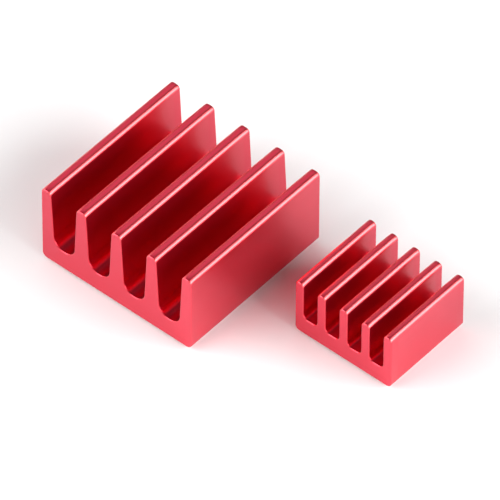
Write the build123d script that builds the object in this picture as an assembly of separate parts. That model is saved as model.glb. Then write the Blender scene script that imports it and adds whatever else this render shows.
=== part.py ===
"""Set of two finned aluminium heat sinks, a large one and a small one, each with its adhesive pad.

Each heat sink is a length of extrusion: a base plate with five upright fins, sawn off across the fins.
Under each base is a thermal adhesive pad, and under the pad the release liner that is peeled off before use.
The two lie side by side on one flat surface, with their fins parallel, as they come out of the packet.

Frame, in millimetres: +Z is up and z = 0 is the surface that both stand on. The fins run along Y and stand
in a row along X. The origin is under the middle of the large heat sink, on the underside of its liner.
"""

from build123d import *

import os
from dataclasses import dataclass


@dataclass(frozen=True)
class HeatSink:
    """The driving sizes of one extrusion, and where it stands."""

    name: str
    centre: tuple  # of the base, in X and Y
    width: float  # across the fins
    length: float  # along the fins, between the sawn ends
    height: float  # of the metal, from the underside of the base to the fin tips
    base_thickness: float  # under the lowest line of a channel
    tip_thickness: float  # of a fin at its top
    root_thickness: float  # of a fin where its walls would meet the channel floor
    channel_radius: float  # between a channel's wall and its floor
    heel_radius: float  # along the two lower edges of the base
    fins: int = 5

    @property
    def pitch(self):
        return (self.width - self.tip_thickness) / (self.fins - 1)


LARGE = HeatSink(
    name="large",
    centre=(0.0, 0.0),
    width=14.0,
    length=14.0,
    height=7.0,
    base_thickness=1.72,
    tip_thickness=0.87,
    root_thickness=1.43,
    channel_radius=0.93,
    heel_radius=0.45,
)
SMALL = HeatSink(
    name="small",
    centre=(15.62, 3.38),
    width=8.85,
    length=8.0,
    height=5.0,
    base_thickness=1.55,
    tip_thickness=0.75,
    root_thickness=0.75,
    channel_radius=0.4,
    heel_radius=0.4,
)

TIP_RADIUS = 0.35  # rounds the long edges of every fin tip
PAD_THICKNESS = 0.15  # thermal adhesive
LINER_THICKNESS = 0.05  # siliconised film
PAD_INSET = 0.6  # all round, from the outline of the base to the edge of the pad
LINER_INSET = 0.5  # a little less, so that a nail can catch the liner without lifting the pad
SHEET_CORNER_RADIUS = 0.3

SINK_FLOOR = PAD_THICKNESS + LINER_THICKNESS  # z of the metal's underside


def channel(sink, index):
    """The open space between two fins, running out past the tips so that it cuts cleanly."""
    overshoot = 1.0
    depth = sink.height - sink.base_thickness
    lean = (sink.root_thickness - sink.tip_thickness) / 2 / depth  # X per Z of one wall
    mouth = sink.pitch - sink.tip_thickness + 2 * lean * overshoot
    floor = sink.pitch - sink.root_thickness
    middle = (index + 0.5 - (sink.fins - 1) / 2) * sink.pitch
    top = sink.height + overshoot
    corners = [
        (middle - mouth / 2, top),
        (middle - floor / 2, sink.base_thickness),
        (middle + floor / 2, sink.base_thickness),
        (middle + mouth / 2, top),
    ]
    space = make_face(Polyline(*corners, close=True))
    lower = space.vertices().sort_by(Axis.Y)[:2]
    return fillet(lower, sink.channel_radius)


def section(sink):
    """The extrusion's cross-section, drawn with X across the fins and Y upwards."""
    outline = Pos(0, sink.height / 2) * Rectangle(sink.width, sink.height)
    outline = fillet(outline.vertices().sort_by(Axis.Y)[:2], sink.heel_radius)
    for index in range(sink.fins - 1):
        outline -= channel(sink, index)
    tips = outline.vertices().filter_by_position(
        Axis.Y, sink.height - 0.01, sink.height + 0.01
    )
    return fillet(tips, TIP_RADIUS)


def extrusion(sink):
    """The metal, from one sawn end to the other, standing on its pad."""
    x, y = sink.centre
    end = Plane(
        origin=(x, y + sink.length / 2, SINK_FLOOR), x_dir=(1, 0, 0), z_dir=(0, -1, 0)
    )
    return extrude(end * section(sink), sink.length)


def sheet(sink, inset, low, thickness):
    """A die-cut layer under the base, between the heights low and low + thickness."""
    x, y = sink.centre
    outline = RectangleRounded(
        sink.width - 2 * inset, sink.length - 2 * inset, SHEET_CORNER_RADIUS
    )
    return extrude(Pos(x, y, low) * outline, thickness)


def pad(sink):
    return sheet(sink, PAD_INSET, LINER_THICKNESS, PAD_THICKNESS)


def liner(sink):
    return sheet(sink, LINER_INSET, 0.0, LINER_THICKNESS)


def main():
    os.makedirs("parts", exist_ok=True)
    for sink in (LARGE, SMALL):
        pieces = {
            "heat_sink": extrusion(sink),
            "thermal_pad": pad(sink),
            "release_liner": liner(sink),
        }
        for name, shape in pieces.items():
            export_step(shape, f"parts/{sink.name}_{name}.step")


main()
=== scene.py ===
"""Looks for the set of two finned heat sinks: red anodised extrusions with adhesive pads and liners.

Lengths are in metres, apart from those with names that end in _MM. The section of each sink, and the rings
that it is repeated at along the length, are worked out in millimetres too. A section is drawn in its own
plane, with x across the fins and z up from the base's underside.
"""

from dataclasses import dataclass
from math import atan2, cos, pi, radians, sin

import bmesh
import bpy
from mathutils import Matrix, Vector, noise

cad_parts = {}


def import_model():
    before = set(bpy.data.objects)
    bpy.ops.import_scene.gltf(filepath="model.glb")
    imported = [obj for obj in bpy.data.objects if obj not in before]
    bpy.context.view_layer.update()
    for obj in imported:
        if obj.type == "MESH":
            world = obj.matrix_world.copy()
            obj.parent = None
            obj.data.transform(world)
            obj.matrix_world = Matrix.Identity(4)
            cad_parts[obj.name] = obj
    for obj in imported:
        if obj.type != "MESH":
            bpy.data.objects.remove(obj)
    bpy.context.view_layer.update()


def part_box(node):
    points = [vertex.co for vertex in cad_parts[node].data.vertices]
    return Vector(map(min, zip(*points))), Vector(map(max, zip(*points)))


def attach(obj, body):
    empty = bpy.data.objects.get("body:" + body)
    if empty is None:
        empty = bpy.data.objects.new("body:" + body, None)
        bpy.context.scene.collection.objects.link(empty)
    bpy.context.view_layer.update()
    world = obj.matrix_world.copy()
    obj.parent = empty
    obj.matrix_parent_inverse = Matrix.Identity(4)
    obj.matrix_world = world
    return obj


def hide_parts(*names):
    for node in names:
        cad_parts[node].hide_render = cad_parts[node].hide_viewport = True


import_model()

MM = 0.001
QUARTER = pi / 2


# ---------------------------------------------------------------------------------------------------------
# The sections of the two extrusions
# ---------------------------------------------------------------------------------------------------------


@dataclass(frozen=True)
class Section:
    """What the frame's boxes don't tell about one extrusion, in millimetres."""

    name: str
    base_thickness: float  # under the lowest line of a channel
    tip_thickness: float  # of a fin at its top
    root_thickness: float  # of a fin where its walls would meet the channel floor
    channel_radius: float  # between a channel's wall and its floor
    heel_radius: float  # along the two lower edges of the base
    ripple_seed: float  # gives the liner under this sink its own ripples
    tip_radius: float = 0.35  # along the long edges of every fin tip
    fins: int = 5


LARGE = Section(
    name="large",
    base_thickness=1.72,
    tip_thickness=0.87,
    root_thickness=1.43,
    channel_radius=0.93,
    heel_radius=0.45,
    ripple_seed=0.0,
)
SMALL = Section(
    name="small",
    base_thickness=1.55,
    tip_thickness=0.75,
    root_thickness=0.75,
    channel_radius=0.4,
    heel_radius=0.4,
    ripple_seed=7.0,
)

ARC_STEPS = 12  # per quarter turn of the section's arcs
END_ROUNDING_MM = 0.09  # the sawn edges, after tumbling
END_STEPS = 6  # rings over that rounding
END_WEAR_AND_HIGHLIGHT = 0.35  # of the dye on those edges, paled as wear and painted highlight, beside 1 on the long edges of the fin tips
CORNER_REACH_MM = 0.8  # how far along a fin tip the tumbling has worn its free corner down
CORNER_STEPS = 8  # rings over that reach
CORNER_DROP_MM = 0.05  # at the corner itself
CORNER_FALL_OFF = 3  # the power by which the drop fades along the tip
SLACK_MM = 0.001  # more than a calculation's error, and less than the space between two rings


def arc(centre, radius, start, end, hollow=False):
    """A round stretch as (x, z, normal x, normal z), for outward normals that turn from start to end."""
    steps = max(2, round(abs(end - start) / QUARTER * ARC_STEPS))
    side = -1 if hollow else 1
    points = []
    for i in range(steps + 1):
        angle = start + (end - start) * i / steps
        nx, nz = cos(angle), sin(angle)
        points.append((centre[0] + side * radius * nx, centre[1] + side * radius * nz, nx, nz))
    return points


def outline(section, width, height):
    """The outline, clockwise from the left end of the flat underside. Straight runs join the arcs."""
    last = section.fins - 1
    pitch = (width - section.tip_thickness) / last
    lean = atan2((section.root_thickness - section.tip_thickness) / 2, height - section.base_thickness)
    heel, tip, hollow = section.heel_radius, section.tip_radius, section.channel_radius

    def shift(radius, angle):
        """From a wall's line to the centre of an arc that touches it and a level line."""
        return radius * (1 - sin(angle)) / cos(angle)

    points = arc((heel - width / 2, heel), heel, -QUARTER, -pi)
    for fin in range(section.fins):
        middle = (fin - last / 2) * pitch
        left_lean = lean if fin > 0 else 0.0
        right_lean = lean if fin < last else 0.0
        left = middle - section.tip_thickness / 2 + shift(tip, left_lean)
        right = middle + section.tip_thickness / 2 - shift(tip, right_lean)
        points += arc((left, height - tip), tip, pi - left_lean, QUARTER)
        points += arc((right, height - tip), tip, QUARTER, right_lean)
        if fin < last:
            floor = section.base_thickness + hollow
            inset = section.root_thickness / 2 + shift(hollow, lean)
            points += arc((middle + inset, floor), hollow, lean, QUARTER, hollow=True)
            points += arc((middle + pitch - inset, floor), hollow, QUARTER, pi - lean, hollow=True)
    points += arc((width / 2 - heel, heel), heel, 0, -QUARTER)
    return points


def end_rings(length):
    """(y, inset, depth behind the front sawn face) of each ring, from that face to where its wear ends."""
    rings = []
    for i in range(END_STEPS + 1):
        angle = QUARTER * i / END_STEPS
        depth = END_ROUNDING_MM * (1 - cos(angle))
        rings.append((depth - length / 2, END_ROUNDING_MM * (1 - sin(angle)), depth))
    for i in range(1, CORNER_STEPS + 1):
        depth = END_ROUNDING_MM + (CORNER_REACH_MM - END_ROUNDING_MM) * i / CORNER_STEPS
        rings.append((depth - length / 2, 0.0, depth))
    return rings


def wear(z, height, depth):
    """How far tumbling has lowered a point near the free corner of a fin tip."""
    along = max(0.0, 1 - depth / CORNER_REACH_MM)
    up = max(0.0, 1 - (height - z) / CORNER_REACH_MM)
    return CORNER_DROP_MM * along**CORNER_FALL_OFF * up


def wear_and_highlight_share(nx, nz, upper_half, depth):
    """How far the dye is paled, as wear and painted highlight: 1 in the middle of a tip's rounding, the sawn
    edges' set share on a sawn edge's rounding.

    It falls to 0 on the sawn face itself, and to about 0.1 or less on the walls.
    """
    if depth == 0:
        return 0.0
    # the tip roundings get paler dye, most where the normal points halfway between up and sideways: painted
    # highlight as well as wear
    tip = 2 * abs(nx) * nz if upper_half else 0.0
    end = END_WEAR_AND_HIGHLIGHT if depth < END_ROUNDING_MM - SLACK_MM else 0.0
    return max(tip, end)


def heat_sink(section):
    """One extrusion as a closed mesh, standing where its CAD node stands."""
    node = f"{section.name}_heat_sink"
    low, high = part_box(node)
    width, length, height = (high - low) / MM
    centre = (low + high) / 2
    shape = outline(section, width, height)
    front = end_rings(length)
    rings = front + [(-y, inset, depth) for y, inset, depth in reversed(front)]

    mesh = bmesh.new()
    edge_layer = mesh.verts.layers.float.new("edge")
    loops = []
    for y, inset, depth in rings:
        loop = []
        for x, z, nx, nz in shape:
            z_worn = z - nz * inset
            z_worn -= wear(z_worn, height, depth)
            place = Vector(((x - nx * inset) * MM + centre.x, y * MM + centre.y, z_worn * MM + low.z))
            vertex = mesh.verts.new(place)
            # each vertex's share of paler dye, which paints wear and, on the fin tips, a highlight
            vertex[edge_layer] = wear_and_highlight_share(nx, nz, z > height / 2, depth)
            loop.append(vertex)
        loops.append(loop)
    for near, far in zip(loops, loops[1:]):
        for i in range(len(shape)):
            j = (i + 1) % len(shape)
            mesh.faces.new((near[i], near[j], far[j], far[i]))
    mesh.faces.new(list(reversed(loops[0])))
    mesh.faces.new(loops[-1])
    piece = as_object(mesh, f"{section.name}_anodised_sink")
    finish_piece(piece, f"{section.name}_sink", node, ANODISED)


# ---------------------------------------------------------------------------------------------------------
# Meshes in general
# ---------------------------------------------------------------------------------------------------------

LARGE_FACES_LEAD = 100  # the top of the modifier's scale, on which 50 is neutral


def as_object(mesh, name):
    """Puts a bmesh in the scene as a smoothly shaded object."""
    bmesh.ops.recalc_face_normals(mesh, faces=mesh.faces)
    data = bpy.data.meshes.new(name)
    mesh.to_mesh(data)
    mesh.free()
    data.shade_smooth()
    piece = bpy.data.objects.new(name, data)
    bpy.context.scene.collection.objects.link(piece)
    return piece


def even_shading(piece):
    """Weights normals by face area, so that large flat faces stay flat beside small round ones."""
    weighting = piece.modifiers.new("even_shading", "WEIGHTED_NORMAL")
    weighting.weight = LARGE_FACES_LEAD
    weighting.keep_sharp = True


def finish_piece(piece, body, node, material):
    """Gives a piece its material and its place in the frame."""
    piece.data.materials.append(material)
    even_shading(piece)
    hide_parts(node)
    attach(piece, body)


# ---------------------------------------------------------------------------------------------------------
# Pads and liners
# ---------------------------------------------------------------------------------------------------------

SHEET_CORNER_MM = 0.3
SHEET_CELL_MM = 0.25
CUT_EDGE_SHARE = 0.25  # of a layer's thickness, rounded off each of its cut edges
CUT_EDGE_STEPS = 3
RIPPLES_PER_MM = 0.45
RIPPLE_MM = 0.012
FILM_SHARE = 0.6  # of its box's height, so that the rest is room to ripple in


def sheet(name, node, body, material, thickness_share=1.0, ripple_mm=0.0, seed=0.0):
    """A die-cut layer in its CAD node's box. One that is thinner than the box may ripple in the rest."""
    low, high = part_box(node)
    half_x, half_y, room = (high.x - low.x) / 2, (high.y - low.y) / 2, high.z - low.z
    centre = (low + high) / 2
    corner = SHEET_CORNER_MM * MM
    columns = round(2 * half_x / (SHEET_CELL_MM * MM))
    rows = round(2 * half_y / (SHEET_CELL_MM * MM))

    mesh = bmesh.new()
    bmesh.ops.create_grid(mesh, x_segments=columns, y_segments=rows, size=1.0)
    for vertex in mesh.verts:
        x, y = vertex.co.x * half_x, vertex.co.y * half_y
        over_x, over_y = abs(x) - (half_x - corner), abs(y) - (half_y - corner)
        if over_x > 0 and over_y > 0:
            pull = max(over_x, over_y) / Vector((over_x, over_y)).length
            x -= (1 - pull) * over_x * (1 if x > 0 else -1)
            y -= (1 - pull) * over_y * (1 if y > 0 else -1)
        wave = noise.noise(Vector((x / MM * RIPPLES_PER_MM, y / MM * RIPPLES_PER_MM, seed)))
        vertex.co = Vector((centre.x + x, centre.y + y, centre.z + wave * ripple_mm * MM))
    piece = as_object(mesh, name)
    thicken = piece.modifiers.new("thickness", "SOLIDIFY")
    thicken.thickness = room * thickness_share
    thicken.offset = 0.0
    soften = piece.modifiers.new("cut_edge", "BEVEL")
    soften.width = room * thickness_share * CUT_EDGE_SHARE
    soften.segments = CUT_EDGE_STEPS
    soften.limit_method = "ANGLE"
    finish_piece(piece, body, node, material)


def thermal_pad(section):
    """The adhesive under one sink, which stays on it."""
    sheet(
        f"{section.name}_adhesive_pad",
        node=f"{section.name}_thermal_pad",
        body=f"{section.name}_sink",
        material=ADHESIVE,
    )


def release_liner(section):
    """The film under one pad, which comes away from it."""
    sheet(
        f"{section.name}_liner_film",
        node=f"{section.name}_release_liner",
        body=f"{section.name}_liner",
        material=FILM,
        thickness_share=FILM_SHARE,
        ripple_mm=RIPPLE_MM,
        seed=section.ripple_seed,
    )


# ---------------------------------------------------------------------------------------------------------
# Materials
# ---------------------------------------------------------------------------------------------------------


class Nodes:
    """A material's node tree, with short calls for the nodes used here. Its textures count in millimetres."""

    def __init__(self, name):
        self.material = bpy.data.materials.new(name)
        self.material.use_nodes = True
        self.tree = self.material.node_tree
        self.shader = self.tree.nodes["Principled BSDF"]
        place = self.tree.nodes.new("ShaderNodeTexCoord")
        self.millimetres = self.scaled(place.outputs["Object"], (1 / MM,) * 3)
        self.normal = place.outputs["Normal"]

    def new(self, kind, **settings):
        node = self.tree.nodes.new(kind)
        for key, value in settings.items():
            setattr(node, key, value)
        return node

    def link(self, source, target):
        self.tree.links.new(source, target)

    def feed(self, socket, value):
        """Links a socket, or sets a number or a tuple."""
        if isinstance(value, bpy.types.NodeSocket):
            self.link(value, socket)
        else:
            socket.default_value = value

    def scaled(self, vector, scale, rotation=(0, 0, 0)):
        node = self.new("ShaderNodeMapping")
        node.inputs["Scale"].default_value = scale
        node.inputs["Rotation"].default_value = rotation
        self.link(vector, node.inputs["Vector"])
        return node.outputs["Vector"]

    def noise(self, vector, scale, detail=2.0, roughness=0.5):
        node = self.new("ShaderNodeTexNoise")
        node.inputs["Scale"].default_value = scale
        node.inputs["Detail"].default_value = detail
        node.inputs["Roughness"].default_value = roughness
        self.link(vector, node.inputs["Vector"])
        return node.outputs["Fac"]

    def maths(self, operation, *values, clamp=False):
        node = self.new("ShaderNodeMath", operation=operation, use_clamp=clamp)
        for socket, value in zip(node.inputs, values):
            self.feed(socket, value)
        return node.outputs[0]

    def blend(self, share, low, high):
        """Numbers or sockets, mixed from low to high as share goes from 0 to 1."""
        node = self.new("ShaderNodeMix", data_type="FLOAT")
        for socket, value in zip((node.inputs[0], node.inputs[2], node.inputs[3]), (share, low, high)):
            self.feed(socket, value)
        return node.outputs[0]

    def tint(self, share, low, high):
        """Colours, mixed from low to high as share goes from 0 to 1."""
        node = self.new("ShaderNodeMix", data_type="RGBA")
        self.feed(node.inputs[0], share)
        for socket, value in zip((node.inputs[6], node.inputs[7]), (low, high)):
            self.feed(socket, (*value, 1) if isinstance(value, tuple) else value)
        return node.outputs[2]

    def bump(self, height, depth_mm, normal=None):
        node = self.new("ShaderNodeBump")
        node.inputs["Distance"].default_value = depth_mm * MM
        self.link(height, node.inputs["Height"])
        if normal is not None:
            self.link(normal, node.inputs["Normal"])
        return node.outputs["Normal"]

    def set(self, **values):
        """Sets or links the shader's sockets, with a low line for each space in a socket's name."""
        for key, value in values.items():
            self.feed(self.shader.inputs[key.replace("_", " ")], value)


def anodised_aluminium():
    """Aluminium with a dyed red oxide layer: a satin metal.

    It has faint die lines along the fins, saw lines on the two ends, and paler edges: worn dye, and on the
    fin tips a painted highlight as well.
    """
    # The third colour is the pale edge dye, painted as wear and, on the fin tips, as a highlight.
    deep_dye, full_dye, wear_and_highlight_dye = (0.74, 0.005, 0.044), (0.78, 0.007, 0.052), (0.9, 0.2, 0.18)
    faces_an_end = 0.7  # how far along Y a normal points, at the least, on a sawn face
    along_the_fins = (1, 0.012, 1)
    across_the_end = (0.03, 1, 1)
    saw_tilt = (0, radians(12), 0)
    smoothest, dullest = 0.35, 0.39  # the roughness between which the lines swing
    noise_middle = 0.5
    grain_swing = 0.06  # of the roughness, about that
    worn_dulling = 0.08  # of the roughness, where the edge mask of wear and painted highlight is full
    wear_and_highlight_paling = 0.5  # towards the pale edge colour of wear and painted highlight, in the same places
    relief_mm = 0.0008  # of the lines, and of the grain

    m = Nodes("red_anodised")
    facing = m.new("ShaderNodeSeparateXYZ")
    m.link(m.normal, facing.inputs[0])
    sawn = m.maths("GREATER_THAN", m.maths("ABSOLUTE", facing.outputs["Y"]), faces_an_end)

    die_lines = m.noise(m.scaled(m.millimetres, along_the_fins), scale=9.0, detail=3.0, roughness=0.6)
    saw_lines = m.noise(m.scaled(m.millimetres, across_the_end, saw_tilt), scale=11.0, detail=3.0)
    lines = m.blend(sawn, die_lines, saw_lines)
    grain = m.noise(m.millimetres, scale=42.0)
    cloud = m.noise(m.millimetres, scale=0.55)
    # the edge mask, where pale dye paints wear and a highlight on the fin tips
    wear_and_highlight = m.new("ShaderNodeAttribute", attribute_name="edge").outputs["Fac"]

    dye = m.tint(cloud, deep_dye, full_dye)
    # paints the pale edges: wear, and the fin tips' highlight
    dye = m.tint(m.maths("MULTIPLY", wear_and_highlight, wear_and_highlight_paling), dye, wear_and_highlight_dye)
    grain_roughness = m.maths("MULTIPLY", m.maths("SUBTRACT", grain, noise_middle), grain_swing)
    worn_roughness = m.maths("MULTIPLY", wear_and_highlight, worn_dulling)
    roughness = m.maths("ADD", m.blend(lines, smoothest, dullest), grain_roughness)
    roughness = m.maths("ADD", roughness, worn_roughness)
    normal = m.bump(lines, relief_mm)
    normal = m.bump(grain, relief_mm, normal)
    m.set(Base_Color=dye, Metallic=1.0, Roughness=roughness, Normal=normal)
    m.set(Coat_Weight=1.0, Coat_Roughness=0.24, Coat_IOR=1.41)
    return m.material


def thermal_adhesive():
    """White ceramic-filled acrylic: matt, slightly uneven, with fine grains of filler in it."""
    dull_white, clear_white, filler_grey = (0.72, 0.73, 0.72), (0.8, 0.81, 0.79), (0.6, 0.61, 0.62)
    speck_threshold = 0.56
    speck_contrast = 9.0

    m = Nodes("thermal_adhesive")
    cloud = m.noise(m.millimetres, scale=0.8)
    filler = m.noise(m.millimetres, scale=22.0, detail=3.0, roughness=0.7)
    over = m.maths("SUBTRACT", filler, speck_threshold)
    speck = m.maths("MULTIPLY", over, speck_contrast, clamp=True)
    colour = m.tint(cloud, dull_white, clear_white)
    colour = m.tint(speck, colour, filler_grey)
    m.set(Base_Color=colour, Roughness=m.blend(filler, 0.5, 0.72), Normal=m.bump(filler, depth_mm=0.008))
    return m.material


def release_film():
    """Pale blue siliconised film: glossy, with faint drawing lines and a light haze."""
    deep_blue, pale_blue = (0.25, 0.5, 0.78), (0.36, 0.6, 0.84)
    along_the_web = (1, 0.05, 1)

    m = Nodes("release_film")
    haze = m.noise(m.millimetres, scale=0.7, detail=3.0)
    drawn = m.noise(m.scaled(m.millimetres, along_the_web), scale=6.0)
    colour = m.tint(haze, deep_blue, pale_blue)
    m.set(Base_Color=colour, Roughness=m.blend(haze, 0.16, 0.3), Normal=m.bump(drawn, depth_mm=0.002))
    m.set(Coat_Weight=0.6, Coat_Roughness=0.12)
    return m.material


ANODISED = anodised_aluminium()
ADHESIVE = thermal_adhesive()
FILM = release_film()


# ---------------------------------------------------------------------------------------------------------
# The set
# ---------------------------------------------------------------------------------------------------------

for sink in (LARGE, SMALL):
    heat_sink(sink)
    thermal_pad(sink)
    release_liner(sink)


# ---------------------------------------------------------------------------------------------------------
# Floor, light and camera
# ---------------------------------------------------------------------------------------------------------

CAMERA_AZIMUTH = 40.49  # degrees from -Y towards +X
CAMERA_ELEVATION = 47.1
CAMERA_ROLL = 0.22
CAMERA_TARGET_MM = (3.88, 3.02, 0.2)
CAMERA_DISTANCE = 0.776
CAMERA_NEAR, CAMERA_FAR = 0.01, 20.0
VIEW_WIDTH_MM = 35.6  # what the picture's width spans at the target

LIGHT_DISTANCE = 0.6
LIGHT_TARGET = Vector((0.005, 0, 0))

FLOOR_HALF_WIDTH = 2.0
ROOM_AT_HORIZON = (0.07, 0.07, 0.07, 1)
ROOM_OVERHEAD = (0.12, 0.12, 0.12, 1)
OVERHEAD_FROM = 0.8  # the Z of a direction, 0 level and 1 straight up, from which the room is palest


def direction(azimuth, elevation):
    """The unit vector at an azimuth from -Y towards +X and an elevation, in degrees."""
    a, e = radians(azimuth), radians(elevation)
    return Vector((sin(a) * cos(e), -cos(a) * cos(e), sin(e)))


def softbox(name, azimuth, elevation, size, radiance):
    """A rectangular light that faces the set. Its power follows from the radiance of its face."""
    light = bpy.data.lights.new(name, "AREA")
    light.shape = "RECTANGLE"
    light.size, light.size_y = size
    light.energy = radiance * pi * size[0] * size[1]
    lamp = bpy.data.objects.new(name, light)
    lamp.location = LIGHT_TARGET + direction(azimuth, elevation) * LIGHT_DISTANCE
    lamp.rotation_euler = (LIGHT_TARGET - lamp.location).to_track_quat("-Z", "Y").to_euler()
    bpy.context.scene.collection.objects.link(lamp)


def floor():
    """A matt white surface under the set, far wider than the picture."""
    m = Nodes("white_floor")
    soft = m.noise(m.millimetres, scale=0.02)
    m.set(Base_Color=m.tint(soft, (0.86, 0.86, 0.86), (0.88, 0.88, 0.88)), Roughness=0.9)
    m.set(Specular_IOR_Level=0.1)
    mesh = bmesh.new()
    bmesh.ops.create_grid(mesh, x_segments=1, y_segments=1, size=FLOOR_HALF_WIDTH)
    ground = as_object(mesh, "floor")
    ground.data.materials.append(m.material)


def world():
    """A dim grey room, darker at the horizon than overhead."""
    sky = bpy.data.worlds.new("studio")
    sky.use_nodes = True
    tree = sky.node_tree
    place = tree.nodes.new("ShaderNodeTexCoord")
    split = tree.nodes.new("ShaderNodeSeparateXYZ")
    ramp = tree.nodes.new("ShaderNodeValToRGB")
    level, overhead = ramp.color_ramp.elements
    level.position, level.color = 0.0, ROOM_AT_HORIZON
    overhead.position, overhead.color = OVERHEAD_FROM, ROOM_OVERHEAD
    tree.links.new(place.outputs["Generated"], split.inputs[0])
    tree.links.new(split.outputs["Z"], ramp.inputs[0])
    tree.links.new(ramp.outputs["Color"], tree.nodes["Background"].inputs["Color"])
    bpy.context.scene.world = sky


def camera():
    """The camera, slightly rolled, with its lens set by the width that the picture spans at its target."""
    data = bpy.data.cameras.new("camera")
    data.lens = data.sensor_width * CAMERA_DISTANCE / (VIEW_WIDTH_MM * MM)
    data.clip_start, data.clip_end = CAMERA_NEAR, CAMERA_FAR
    eye = bpy.data.objects.new("camera", data)
    target = Vector(CAMERA_TARGET_MM) * MM
    back = direction(CAMERA_AZIMUTH, CAMERA_ELEVATION)
    place = Matrix.Translation(target + back * CAMERA_DISTANCE)
    turn = (-back).to_track_quat("-Z", "Y").to_matrix().to_4x4()
    roll = Matrix.Rotation(radians(CAMERA_ROLL), 4, "Z")
    eye.matrix_world = place @ turn @ roll
    bpy.context.scene.collection.objects.link(eye)
    bpy.context.scene.camera = eye


floor()
world()
softbox("right_key", azimuth=108, elevation=25, size=(0.56, 0.48), radiance=7.2)
softbox("right_skirt", azimuth=62, elevation=18, size=(0.34, 0.36), radiance=3.6)
softbox("left_key", azimuth=-36, elevation=30, size=(0.56, 0.48), radiance=5.1)
softbox("left_fill", azimuth=-95, elevation=20, size=(0.42, 0.36), radiance=2.2)
softbox("back_glow", azimuth=-140, elevation=47, size=(0.3, 0.28), radiance=1.1)
camera()
bpy.context.scene.view_settings.view_transform = "Standard"
